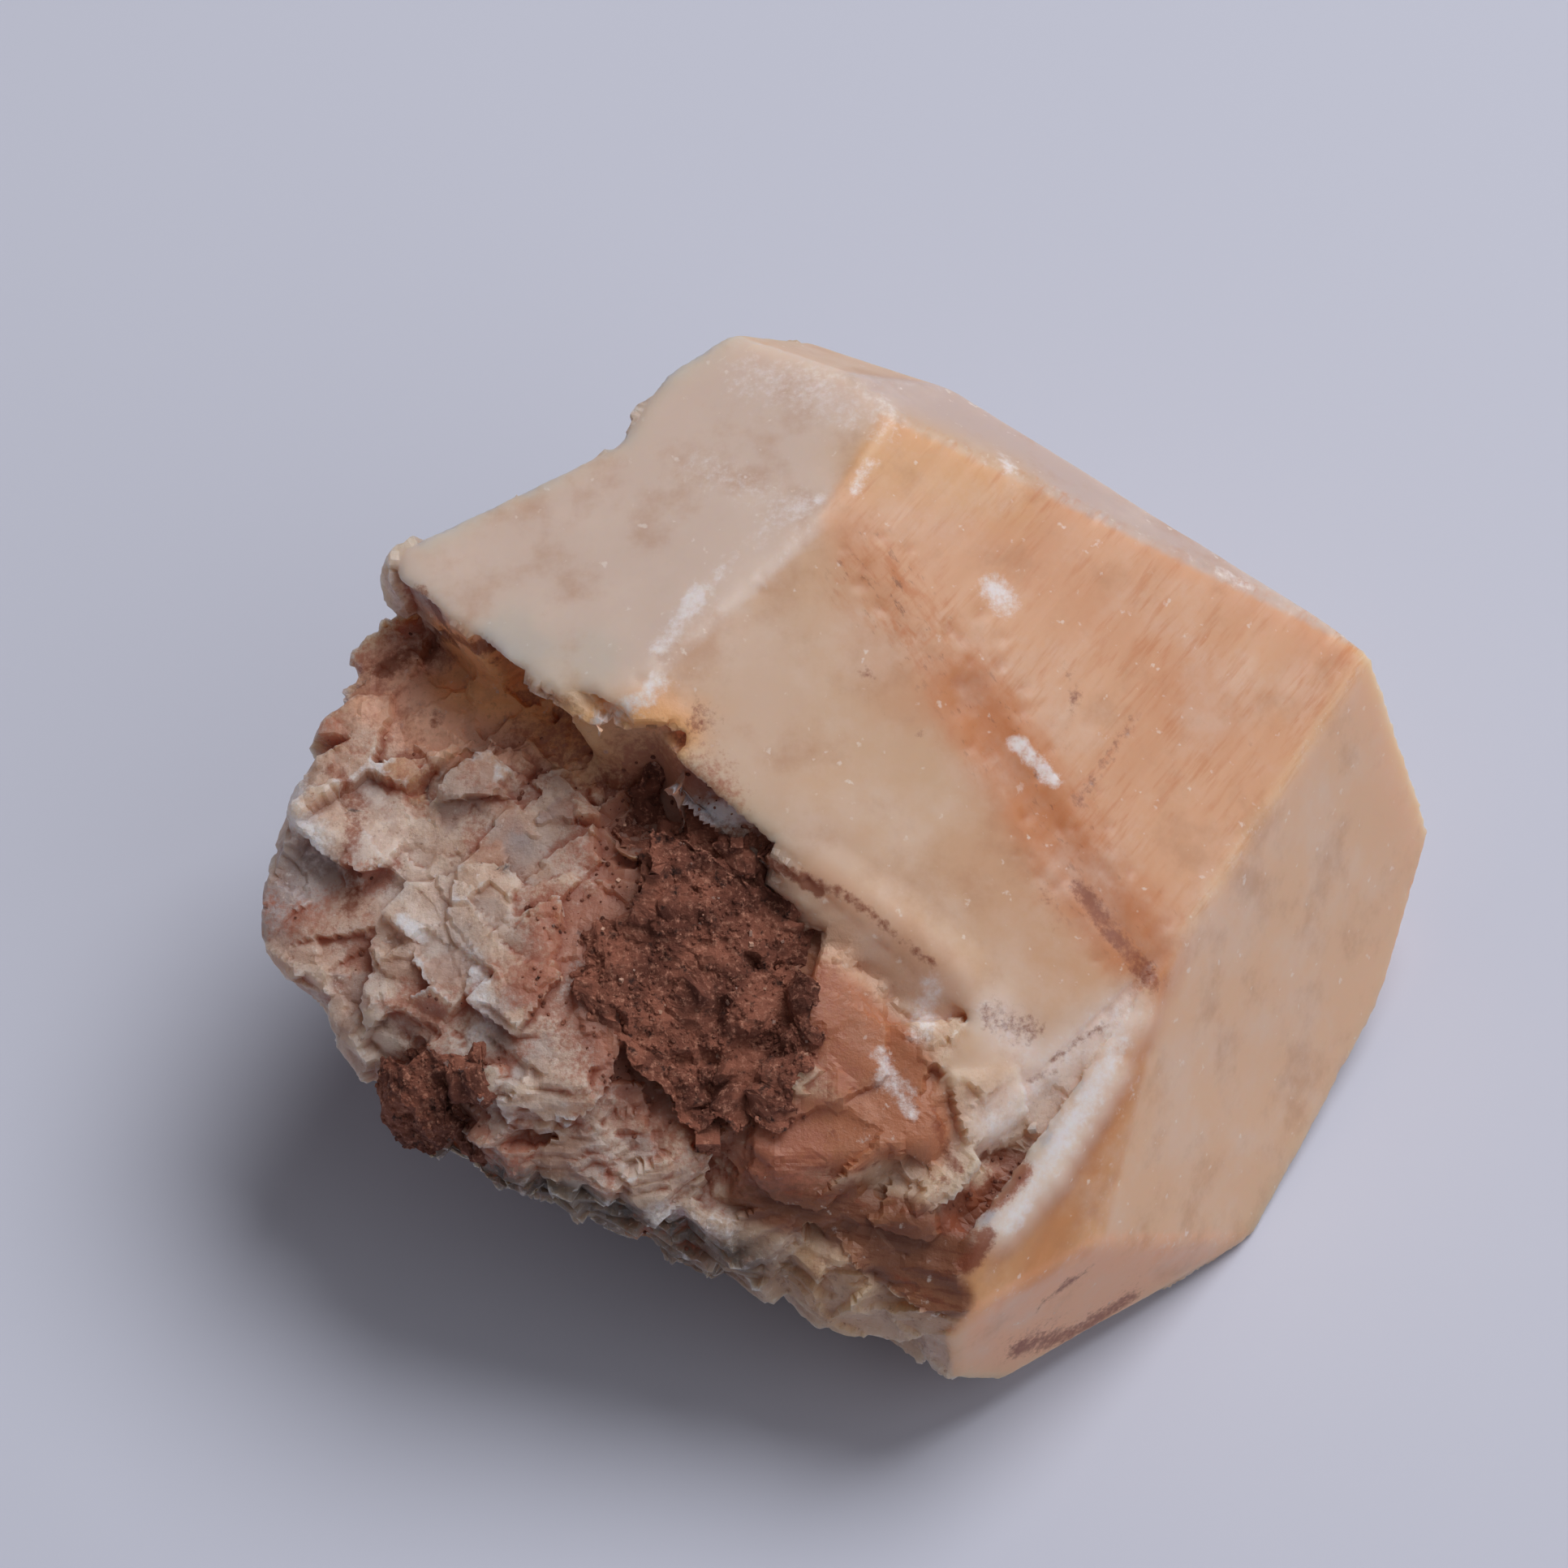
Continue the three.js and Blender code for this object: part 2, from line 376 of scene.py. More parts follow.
def carve_rhomb(index, depth, reach, width, most):
    """Breaks out a cleavage rhomb whose inner corner lies a depth under a surface point."""
    spot, normal = surface[index].copy(), outward[index]
    lean = edge_lines @ normal
    outgoing = edge_lines * np.where(lean < 0, -1, 1)[:, None]
    basis = outgoing[np.argsort(-np.abs(lean))].T
    corner = spot - normal * depth
    close = np.array([found[1] for found in finder.find_range(first_surface[index], reach * 1.3)])
    close = close[outward[close] @ normal > 0.45]
    steps = np.linalg.solve(basis, (surface[close] - corner).T)
    rate = np.linalg.solve(basis, normal)
    inside = (steps[0] > 0) & (steps[1] > 0) & (steps[0] < reach) & (steps[1] < reach)
    inside &= np.abs(steps[2]) < width / 2
    close, steps = close[inside], steps[:, inside]
    ways = [steps[i] / rate[i] for i in (0, 1) if rate[i] > 1e-3]
    if len(close) and ways:
        left = np.clip(DEEPEST - removed[close], 0, None)
        cut = np.minimum(np.min(ways, axis=0), most) * (0.1 + 0.9 * rugged[close])
        cut = np.minimum(cut, left)
        surface[close] -= normal * cut[:, None]
        removed[close] += cut


def facet(size, deepest, proudest, turn, seed):
    """Splits the break into flat facets of about a size, most of them along the cleavage."""
    rng = np.random.default_rng(SEED + seed)
    area = len(break_points) * GRAIN**2
    centres = rng.choice(break_points, int(FACET_COVER * area / size**2))
    faces = np.concatenate([cleavage, -np.array(cleavage)])
    facing = outward[centres] @ faces.T
    wanted = np.where(facing > 0.5, facing + rng.uniform(0, 0.5, facing.shape), -1)
    normals = faces[wanted.argmax(axis=1)]
    odd = (wanted.max(axis=1) < 0) | (rng.uniform(size=len(centres)) < ODD_SHARE)
    normals[odd] = outward[centres[odd]]
    wobble = turn * np.where(odd, 2.0, 1.0)[:, None] * rng.normal(size=normals.shape)
    normals = unit(normals + wobble)
    sink = rng.uniform(0, 0.6, len(centres)) * deepest
    anchors = surface[centres] - outward[centres] * sink[:, None]
    stretched = edge_lines[seed % 3]
    sway = [rough(first_surface, 0.8 * size, 2, seed + axis) for axis in range(3)]
    warped = first_surface + FACET_SWAY * size * np.stack(sway, axis=1)
    cells = finder_of(along(first_surface[centres], stretched, FACET_STRETCH))
    queries = along(warped, stretched, FACET_STRETCH)
    touched = np.where(rugged > 0.02)[0]
    cell = np.zeros(len(surface), dtype=int)
    cell[touched] = [cells.find(queries[i])[1] for i in touched]
    lean = np.einsum("ij,ij->i", outward, normals[cell])
    away = np.einsum("ij,ij->i", anchors[cell] - surface, normals[cell])
    move = np.clip(away / np.maximum(lean, 0.35), -deepest, proudest) * ramp(rugged, 0.0, 0.8)
    surface[:] += outward * move[:, None]
    return cell


def terrace(amount, normal, step, wander, seed):
    """Cuts a region into thin layers that end in little steps."""
    level = surface @ normal + wander * cloud(first_surface, 5.0, seed)
    level += 0.25 * wander * cloud(first_surface, 1.2, seed + 1)
    layer = np.floor(level / step)
    within = level / step - layer
    moved = (layer + ramp(within, 0.55, 1.0)) * step - level
    side = outward - np.outer(outward @ normal, normal)
    overhang = amount * 0.3 * step * (within - 0.5)
    surface[:] += np.outer(moved * amount, normal) + side * overhang[:, None]


random = np.random.default_rng(SEED)

break_points = np.where(broken > 0.9)[0]
SHEER_FACET = patch(
    ([(0.45, 0.31, 0.67), (0.50, 0.22, 0.62), (0.53, 0.16, 0.58)], 5.5),
    ([(0.42, 0.16, 0.57), (0.48, 0.15, 0.57)], 4.0),
    ([(0.445, 0.31, 0.67), (0.425, 0.24, 0.65)], 3.2),
)
STRIPED_FRONT = patch(
    ([(0.41, 0.12, 0.51), (0.47, 0.09, 0.49), (0.56, 0.06, 0.47)], 4.0),
    ([(0.50, 0.06, 0.45), (0.56, 0.03, 0.40)], 2.8),
)
PALE_FACET = patch(([(0.45, 0.36, 0.73), (0.50, 0.32, 0.71), (0.55, 0.28, 0.67)], 4.6))
BRUISED_LEDGE = patch(
    ([(0.71, 0.28, 0.58), (0.65, 0.23, 0.58), (0.60, 0.17, 0.56)], 3.6),
    ([(0.69, 0.23, 0.55), (0.64, 0.14, 0.49), (0.60, 0.09, 0.47)], 3.2),
    ([(0.60, 0.26, 0.64), (0.63, 0.23, 0.60)], 3.0),
)
CORNER_WALL = patch(([(0.28, 0.49, 0.80), (0.32, 0.50, 0.82), (0.33, 0.49, 0.76)], 4.5))
STEP_WALL = patch(([(0.17, 0.62, 0.80), (0.27, 0.53, 0.82), (0.33, 0.51, 0.84)], 5.5))
STEP_FLOOR = patch(([(0.10, 0.61, 0.73), (0.16, 0.56, 0.72), (0.22, 0.55, 0.72)], 5.0))


HIGHEST_BUMP = 0.6


def fill_flat(amount, first, second, third, deepest):
    """Fills the pits of a patch up to the plane through three places, and takes its bumps off."""
    corner, along_one, along_other = place(*first), place(*second), place(*third)
    normal = np.cross(along_one - corner, along_other - corner)
    normal /= np.linalg.norm(normal)
    normal *= np.sign(normal[2])
    below = (corner - surface) @ normal
    within = (below > -HIGHEST_BUMP) & (below < deepest)
    below = np.where(within, below, 0)
    surface[:] += np.outer(below * amount, normal)


fill_flat(SHEER_FACET, (0.45, 0.32, 0.672), (0.54, 0.17, 0.595), (0.41, 0.16, 0.575), 3.5)
fill_flat(STRIPED_FRONT, (0.40, 0.125, 0.52), (0.59, 0.08, 0.485), (0.55, 0.02, 0.385), 3.5)
fill_flat(PALE_FACET, (0.460, 0.368, 0.775), (0.565, 0.293, 0.685), (0.477, 0.300, 0.672), 3.5)
fill_flat(BRUISED_LEDGE, (0.71, 0.28, 0.591), (0.59, 0.269, 0.652), (0.59, 0.075, 0.479), 2.5)

# How rugged the break is: the sheer facets in it stay nearly plain.
sheer = np.max([SHEER_FACET, STRIPED_FRONT, PALE_FACET, 0.9 * STEP_WALL, 0.9 * CORNER_WALL,
                0.75 * BRUISED_LEDGE, 0.7 * STEP_FLOOR], axis=0)
rugged = broken * (1 - 0.88 * sheer)

large_cells = facet(size=6.0, deepest=1.1, proudest=0.5, turn=0.06, seed=1)
small_cells = facet(size=3.6, deepest=0.2, proudest=0.14, turn=0.1, seed=2)
for chip_size, chips in CHIP_SIZES:
    for index in random.choice(break_points, chips):
        depth = chip_size * random.uniform(0.05, 0.2)
        width = chip_size * random.uniform(0.5, 1.7)
        carve_rhomb(index, depth, reach=chip_size, width=width, most=0.24 * chip_size)

FEATHERED = patch(
    ([(0.22, 0.21, 0.65), (0.35, 0.17, 0.59)], 4.0),
    ([(0.21, 0.17, 0.57), (0.34, 0.13, 0.52), (0.44, 0.10, 0.47)], 4.5),
)
UNDERSLABS = patch(
    ([(0.14, 0.16, 0.45), (0.25, 0.12, 0.45), (0.39, 0.07, 0.42)], 6.0),
    ([(0.20, 0.17, 0.33), (0.35, 0.10, 0.30)], 9.0),
)
terrace(FEATHERED * rugged, cleavage[0], step=0.6, wander=0.5, seed=41)
terrace(UNDERSLABS * (1 - FEATHERED) * rugged, cleavage[0], step=1.2, wander=0.9, seed=43)

# Fine hackles: each large facet is scored along one of the three cleavage edges.
scored = np.random.default_rng(SEED + 60).integers(0, 3, len(surface))[large_cells]
for line, direction in enumerate(edge_lines):
    drawn = along(first_surface, direction, 4.0)
    hackle = 1 - 2 * np.abs(cloud(drawn, 1.8, 70 + line))
    hackle += 0.5 * (1 - 2 * np.abs(cloud(drawn, 0.9, 75 + line)))
    surface += outward * ((scored == line) * rugged * HACKLE_DEPTH * hackle)[:, None]
pitting = 0.02 + 0.02 * rough(first_surface, 1.1, 2, 5)
surface -= outward * (rugged * pitting)[:, None]

# A break never comes through a smooth face from behind.
for direction in crystal_faces.values():
    over = surface @ direction - (first_surface @ direction).max() + THINNEST
    over = np.clip(over, 0, None) * ramp(rugged, 0.5, 1.0)
    behind = outward @ direction < 0
    surface -= np.outer(over * behind, direction)

# The corner between the step and the clay is worn smooth.
surface += (eased(surface, stone_edges, 12) - surface) * ramp(CORNER_WALL, 0.2, 0.8)[:, None]

# A sliver that would hang off that corner is pressed back to the wall.
sliver_spot, sliver_reach = place(0.323, 0.475, 0.895), 1.8
corner_wall = place(0, 0.495, 0)[1]
hanging = np.linalg.norm(surface - sliver_spot, axis=1) < sliver_reach
surface[hanging, 1] = np.maximum(surface[hanging, 1], corner_wall)

# Nicks along the sharp edges between the smooth faces.
edge_points = np.where(on_edge > 0.5)[0]
for index in random.choice(edge_points, NICKS):
    size = random.uniform(*NICK_SIZES)
    close = np.array([found[1] for found in finder.find_range(first_surface[index], size)])
    gap = np.linalg.norm(first_surface[close] - first_surface[index], axis=1)
    depth = np.clip(1 - gap / size, 0, 1) * NICK_DEPTH * size
    surface[close] -= outward[close] * depth[:, None]

# The groove between the clear front and the striped face, and the swell of the grown faces.
groove_path = [(0.58, 0.56, 0.83), (0.67, 0.41, 0.70), (0.73, 0.34, 0.62)]
surface -= outward * (GROOVE_DEPTH * patch((groove_path, GROOVE_WIDTH)))[:, None]
for size, height, seed in ((11.0, 0.1, 3), (4.0, 0.05, 4)):
    surface += outward * ((1 - rugged) * height * cloud(first_surface, size, seed))[:, None]

# Growth lines across the striped face, and along the band at the crystal's end.
stripe_line = looking(54, 90)
band_line = place(0.73, 0.29, 0.56) - place(0.62, 0.06, 0.40)
groove_line = place(*groove_path[-1]) - place(*groove_path[0])
for face, line, spacing, height, seed in (("striped_right", stripe_line, 1.3, 0.03, 61),
                                          ("end_strip", band_line, 1.2, 0.07, 63)):
    growth = rough(along(first_surface, line, 14), spacing, 2, seed)
    surface += outward * (on_face[face] * height * growth)[:, None]

surface = np.clip(surface, low, high)  # nothing grows past the solid's own box
move_points(stone_mesh, surface)
outward = unit(eased(normals_of(stone_mesh), stone_edges, 1))
bulge = np.einsum("ij,ij->i", surface - eased(surface, stone_edges, 8), outward)
ridges = ramp(bulge, 0.05, 0.2) * rugged
crevices = ramp(-bulge, 0.04, 0.2) * rugged

# ------------------------------------------------------------------ pigments on the stone


def pigment(red, green, blue):
    """A paint from 0 to 255 screen values, as linear light."""
    screen = np.array([red, green, blue]) / 255
    return np.where(screen <= 0.04045, screen / 12.92, ((screen + 0.055) / 1.055) ** 2.4)


HONEY = pigment(208, 172, 142)
MILKY = pigment(212, 190, 178)
PEACH = pigment(216, 168, 134)
BUFF = pigment(224, 183, 150)
PALE_ROSE = pigment(196, 174, 166)
GREY_STONE = pigment(216, 190, 174)
AMBER = pigment(184, 122, 56)
ORANGE = pigment(196, 122, 70)
GOLD = pigment(218, 170, 100)
ROSE_TAN = pigment(176, 106, 72)
UMBER = pigment(120, 66, 44)
RUSTY = pigment(204, 152, 122)
BROWN = pigment(122, 64, 38)
# Painted shade for the stone's downward-facing underside.
UNDERSIDE_SHADE = pigment(58, 50, 44)
CREAM = pigment(230, 208, 196)
SMOKE = pigment(150, 140, 146)
WARM_HONEY = pigment(212, 150, 94)
APRICOT = pigment(240, 180, 142)
# The recess paints are the stone's own amber made brighter: a painted glow where light comes through the
# crystal into the shaded recess.
RECESS_PEACH_GLOW = pigment(236, 176, 146)
RECESS_AMBER_GLOW = pigment(246, 178, 122)
RECESS_GLOW = pigment(255, 190, 130)
FACET_BUFF = pigment(216, 176, 150)
CORNER_HONEY = pigment(226, 180, 142)
VEIL = pigment(224, 204, 192)
DEEP_HONEY = pigment(178, 126, 88)
PALE_FLECK = pigment(238, 228, 222)
ROSE_SHADOW = pigment(150, 108, 90)
RED_GRIT = pigment(132, 80, 60)
WHITE_GRIT_GLINT = pigment(240, 230, 226)
RED_DUST = pigment(172, 106, 84)
CHALK = pigment(234, 228, 230)
IRON = pigment(138, 72, 46)
CLAY_RED = pigment(166, 104, 84)
CLAY_DARK = pigment(118, 68, 54)
CLAY_PALE = pigment(214, 152, 128)
CLAY_HOLE_SHADE = pigment(70, 42, 36)
GRIT_WARM = pigment(204, 160, 138)
GRIT_GREY = pigment(160, 128, 118)
PAPER = pigment(200, 204, 222)

tint = np.tile(HONEY, (len(surface), 1))


def paint(colour, amount):
    """Lays a colour over the stone's tint."""
    global tint
    tint = tint + (colour - tint) * np.clip(amount, 0, 1)[:, None]


left_part = ramp(-first_surface[:, 0], 4, 18)
paint(MILKY, on_face["milky_top"])
paint(PEACH, on_face["striped_right"])
paint(BUFF, np.maximum(on_face["smooth_end"], on_face["end_foot"]))
paint(WARM_HONEY, on_face["end_strip"] * 0.7)
paint(APRICOT, np.maximum(on_face["end_foot"], on_face["under_end"]) * 0.7)
paint(PALE_ROSE, on_face["back_bevel"])
paint(GREY_STONE, broken * left_part)
patches = rough(first_surface, 5.0, 3, 21)
paint(CREAM, broken * ramp(patches, 0.2, 0.8) * 0.45)
paint(SMOKE, broken * left_part * ramp(-patches, 0.3, 0.9) * 0.5)
shade = np.random.default_rng(SEED + 50).uniform(0, 1, (3, len(surface)))
paint(CREAM, broken * ramp(shade[0][large_cells], 0.5, 1.0) * 0.35)
paint(ROSE_TAN, broken * left_part * ramp(shade[1][small_cells], 0.5, 1.0) * 0.5)
paint(SMOKE, broken * left_part * ramp(shade[2][small_cells], 0.6, 1.0) * 0.45)
paint(RUSTY, broken * left_part * ramp(rough(first_surface, 3.4, 4, 24), 0.0, 0.8) * 0.5)
# Umber laid into the crevices of the break, so that its hollows are darker.
paint(UMBER, crevices * left_part * 0.45)

# Orange bands in the striped face and beside the groove.
wide_streaks = rough(along(first_surface, stripe_line, 4), 7, 3, 11)
fine_streaks = rough(along(first_surface, stripe_line, 9), 1.6, 3, 12)
paint(ORANGE, on_face["striped_right"] * ramp(wide_streaks + 0.5 * fine_streaks, -0.1, 1.2) * 0.22)
paint(ORANGE, patch(([(0.62, 0.72, 0.88), (0.72, 0.65, 0.77), (0.79, 0.58, 0.69)], 5.0)) * 0.25)
groove_streaks = rough(along(first_surface, groove_line, 10), 1.2, 2, 13)
paint(ORANGE, ramp(near(groove_path, 5.0), 0.05, 0.8) * 0.85)
groove_foot = ramp(near([(0.60, 0.50, 0.78), (0.67, 0.39, 0.69), (0.73, 0.31, 0.61)], 2.6), 0.1, 1)
paint(UMBER, groove_foot * ramp(groove_streaks, -0.5, 0.8) * 0.6)

# Soft blushes on the smooth faces: each a colour, a path, a radius and a strength.
blushes = [
    (ORANGE, [(0.73, 0.30, 0.58), (0.69, 0.16, 0.48), (0.65, 0.05, 0.40)], 3.0, 0.4),
    (GOLD, [(0.50, 0.78, 0.98), (0.56, 0.79, 0.96), (0.61, 0.78, 0.91)], 5.5, 0.35),
    (ORANGE, [(0.49, 0.67, 0.95), (0.50, 0.60, 0.89), (0.53, 0.54, 0.85)], 4.0, 0.3),
    (PALE_ROSE, [(0.40, 0.40, 0.80), (0.46, 0.38, 0.77)], 5.0, 0.35),
    (MILKY, [(0.41, 0.58, 0.90), (0.40, 0.48, 0.85)], 6.0, 0.4),
    (ORANGE, [(0.60, 0.40, 0.73), (0.66, 0.31, 0.65)], 6.0, 0.22),
    (HONEY, [(0.33, 0.51, 0.90), (0.30, 0.50, 0.80)], 4.0, 0.6),
]
for colour, stroke, radius, strength in blushes:
    paint(colour, patch((stroke, radius)) * strength)

# The deep amber of the recess, lightened into a painted glow of the light that passes through the crystal
# into its shade, and the reddish front facets.
paint(RECESS_PEACH_GLOW, ramp(STEP_FLOOR, 0, 0.6) * 0.8)
paint(RECESS_AMBER_GLOW, ramp(STEP_WALL, 0, 0.5) * 0.9)
paint(RECESS_GLOW, patch(([(0.21, 0.60, 0.75), (0.24, 0.57, 0.74), (0.26, 0.54, 0.75)], 3.6)) * 0.7)
paint(AMBER, patch(([(0.11, 0.52, 0.71), (0.13, 0.50, 0.71)], 2.0)) * 0.6)
paint(ROSE_TAN, ramp(SHEER_FACET, 0.1, 0.6) * 0.9)
paint(BROWN, ramp(STRIPED_FRONT, 0.1, 0.6) * 0.9)
# The underside slabs face down and are painted dark: painted shade.
paint(UNDERSIDE_SHADE, UNDERSLABS * (1 - FEATHERED) * 0.95)
paint(SMOKE, patch(([(0.01, 0.40, 0.61), (0.03, 0.42, 0.63)], 4.5)) * 0.8)
paint(CREAM, patch(([(0.10, 0.43, 0.70), (0.13, 0.35, 0.67)], 3.5)) * 0.6)
paint(CREAM, BRUISED_LEDGE)
paint(FACET_BUFF, ramp(PALE_FACET, 0.1, 0.6) * 0.8)
paint(CORNER_HONEY, ramp(CORNER_WALL, 0.1, 0.6) * 0.8)

# Chalky bruises, on the ridges of the break and along most of the sharp edges too; on the ridges the
# chalk is also a painted highlight.
chalk_marks = [
    ([(0.71, 0.29, 0.58), (0.68, 0.21, 0.54), (0.61, 0.09, 0.46)], 1.7, 0.85),
    ([(0.505, 0.22, 0.63), (0.52, 0.19, 0.61), (0.53, 0.17, 0.59)], 1.2, 0.75),
    ([(0.51, 0.20, 0.61), (0.525, 0.185, 0.60)], 1.9, 0.6),
    ([(0.46, 0.73, 0.98), (0.39, 0.67, 0.96), (0.34, 0.58, 0.95)], 1.1, 0.7),
    ([(0.36, 0.62, 0.95), (0.33, 0.57, 0.94)], 1.5, 1.0),
    ([(0.33, 0.53, 0.93), (0.31, 0.51, 0.92), (0.28, 0.50, 0.89)], 1.7, 0.9),
    ([(0.40, 0.88, 0.98), (0.45, 0.86, 0.99), (0.51, 0.82, 0.99)], 4.2, 0.6),
    ([(0.61, 0.66, 0.85), (0.60, 0.67, 0.86)], 2.2, 1.0),
    ([(0.62, 0.52, 0.79), (0.65, 0.49, 0.75)], 1.2, 1.0),
    ([(0.49, 0.74, 0.98), (0.50, 0.77, 0.99)], 1.2, 0.9),
    ([(0.62, 0.80, 0.92), (0.61, 0.83, 0.90)], 1.4, 0.7),
    ([(0.80, 0.74, 0.76), (0.82, 0.73, 0.74)], 1.4, 0.6),
    ([(0.36, 0.78, 0.96), (0.43, 0.72, 0.97)], 3.0, 0.45),
    ([(0.33, 0.44, 0.82), (0.39, 0.42, 0.81)], 1.2, 1.0),
    ([(0.55, 0.29, 0.66), (0.54, 0.24, 0.64)], 1.8, 0.8),
    ([(0.17, 0.32, 0.69), (0.19, 0.27, 0.67), (0.18, 0.24, 0.64)], 2.0, 0.7),
    ([(0.03, 0.52, 0.66), (0.05, 0.45, 0.68), (0.04, 0.44, 0.66)], 2.6, 1.0),
    ([(0.12, 0.36, 0.67), (0.13, 0.34, 0.67)], 1.2, 1.0),
    ([(0.33, 0.11, 0.46), (0.38, 0.09, 0.45)], 2.2, 0.7),
]
unchalked_edges = [(0.49, 0.80, 0.98), (0.56, 0.60, 0.86), (0.73, 0.32, 0.61)]
edge_chalk = 0.3 * on_edge * (1 - ramp(near(unchalked_edges, 6.0), 0, 0.4))
# The whitening on the convex ridges is chalk bruising and a painted highlight.
ridge_chalk_highlight = 0.75 * ridges * ramp(rough(first_surface, 2.6, 3, 31), 0.0, 0.7)
chalk = np.max([marked(chalk_marks), 0.5 * BRUISED_LEDGE, edge_chalk, ridge_chalk_highlight], axis=0)
chalk = chalk * (0.8 + 0.3 * rough(first_surface, 3.0, 4, 33)) + 0.12

# Iron stains, veins and cracks.
rust = marked([
    ([(0.50, 0.57, 0.88), (0.50, 0.56, 0.88)], 0.9, 1.0),
    ([(0.51, 0.54, 0.85), (0.55, 0.51, 0.81)], 0.6, 0.8),
    ([(0.66, 0.61, 0.80), (0.67, 0.58, 0.78), (0.66, 0.53, 0.76)], 0.9, 0.6),
    ([(0.67, 0.47, 0.73), (0.69, 0.51, 0.73), (0.72, 0.57, 0.74)], 0.9, 0.55),
    ([(0.82, 0.57, 0.67), (0.82, 0.57, 0.67)], 0.7, 0.8),
    ([(0.67, 0.39, 0.69), (0.73, 0.31, 0.61)], 1.6, 0.7),
    ([(0.13, 0.65, 0.89), (0.16, 0.63, 0.85), (0.19, 0.60, 0.87)], 1.5, 1.0),
    ([(0.09, 0.63, 0.73), (0.12, 0.65, 0.74), (0.16, 0.64, 0.80)], 1.3, 1.0),
    ([(0.19, 0.60, 0.83), (0.26, 0.52, 0.82)], 0.8, 0.5),
    ([(0.36, 0.43, 0.80), (0.42, 0.39, 0.78), (0.48, 0.355, 0.755), (0.55, 0.30, 0.70)], 0.8, 0.7),
    ([(0.14, 0.58, 0.73), (0.14, 0.57, 0.73)], 1.1, 0.9),
    ([(0.06, 0.52, 0.70), (0.08, 0.48, 0.70), (0.07, 0.38, 0.65)], 1.3, 0.75),
    ([(0.40, 0.13, 0.55), (0.46, 0.12, 0.56), (0.56, 0.11, 0.54)], 0.6, 0.7),
    ([(0.39, 0.13, 0.51), (0.47, 0.10, 0.52), (0.59, 0.08, 0.48)], 0.6, 0.7),
    ([(0.52, 0.05, 0.42), (0.56, 0.02, 0.39)], 0.7, 0.7),
    ([(0.56, 0.08, 0.49), (0.59, 0.08, 0.46), (0.58, 0.05, 0.45)], 1.5, 0.9),
    ([(0.55, 0.17, 0.59), (0.57, 0.12, 0.55)], 1.0, 0.8),
    ([(0.47, 0.15, 0.58), (0.47, 0.15, 0.58)], 1.2, 0.8),
    ([(0.57, 0.09, 0.49), (0.62, 0.13, 0.51)], 1.6, 1.0),
    ([(0.60, 0.14, 0.52), (0.62, 0.15, 0.51)], 0.9, 1.0),
    ([(0.65, 0.23, 0.59), (0.69, 0.27, 0.58)], 0.7, 0.7),
    ([(0.63, 0.21, 0.58), (0.65, 0.22, 0.57)], 0.8, 0.6),
    ([(0.60, 0.26, 0.64), (0.63, 0.25, 0.62)], 2.4, 0.62),
    ([(0.64, 0.39, 0.70), (0.65, 0.35, 0.67)], 2.2, 0.35),
    ([(0.68, 0.10, 0.29), (0.64, 0.06, 0.27)], 0.7, 1.0),
    ([(0.62, 0.04, 0.18), (0.67, 0.08, 0.10), (0.72, 0.12, 0.09)], 2.2, 0.8),
    ([(0.28, 0.51, 0.72), (0.30, 0.50, 0.74), (0.33, 0.52, 0.75)], 2.0, 0.7),
    ([(0.36, 0.52, 0.91), (0.37, 0.50, 0.89), (0.35, 0.50, 0.88)], 1.4, 0.6),
    ([(0.34, 0.43, 0.80), (0.39, 0.40, 0.79), (0.46, 0.37, 0.75)], 0.9, 1.0),
])
rust = rust * (0.95 + 0.35 * rough(first_surface, 1.8, 3, 36))

# Where the clay lies, and the red dust around it.
CLAY_HEART = patch(
    ([(0.33, 0.52, 0.75), (0.31, 0.48, 0.73)], 2.2),
    ([(0.31, 0.45, 0.73), (0.33, 0.41, 0.77), (0.38, 0.37, 0.77)], 3.2),
    ([(0.36, 0.36, 0.76), (0.34, 0.30, 0.71), (0.39, 0.31, 0.71)], 4.6),
    ([(0.40, 0.32, 0.71), (0.42, 0.29, 0.69)], 3.0),
    ([(0.33, 0.26, 0.67), (0.38, 0.24, 0.66), (0.41, 0.23, 0.65)], 4.0),
    ([(0.34, 0.22, 0.65), (0.40, 0.19, 0.60)], 3.4),
    ([(0.29, 0.33, 0.71), (0.29, 0.26, 0.69)], 3.0),
    ([(0.386, 0.406, 0.726), (0.406, 0.378, 0.70), (0.43, 0.36, 0.675)], 2.6),
    ([(0.435, 0.33, 0.68), (0.43, 0.27, 0.66), (0.42, 0.235, 0.64)], 2.6),
)
dust_marks = [
    ([(0.33, 0.45, 0.74), (0.31, 0.34, 0.71), (0.33, 0.24, 0.66)], 12.0, 1.0),
    ([(0.30, 0.22, 0.64), (0.38, 0.16, 0.56), (0.44, 0.14, 0.56)], 7.0, 0.85),
    ([(0.42, 0.30, 0.70), (0.46, 0.24, 0.66), (0.47, 0.20, 0.63)], 6.0, 0.7),
    ([(0.25, 0.36, 0.71), (0.24, 0.28, 0.69)], 6.0, 0.8),
    ([(0.13, 0.22, 0.59), (0.16, 0.20, 0.57), (0.18, 0.18, 0.50)], 5.5, 0.75),
    ([(0.10, 0.62, 0.73), (0.20, 0.56, 0.70)], 5.0, 0.35),
    ([(0.60, 0.10, 0.20), (0.70, 0.12, 0.14)], 7.0, 0.35),
    ([(0.57, 0.09, 0.49), (0.62, 0.13, 0.51)], 2.0, 1.0),
]
dusty_break = broken * left_part * (0.18 + 0.42 * ramp(rough(first_surface, 4.0, 4, 38), -0.3, 0.6))
dust = np.maximum(marked(dust_marks), dusty_break)
drifts = 0.2 * rough(first_surface, 4.0, 3, 35) * (dust > 0.1)
dust = dust + 0.3 * crevices * ramp(dust, 0.05, 0.3) + drifts

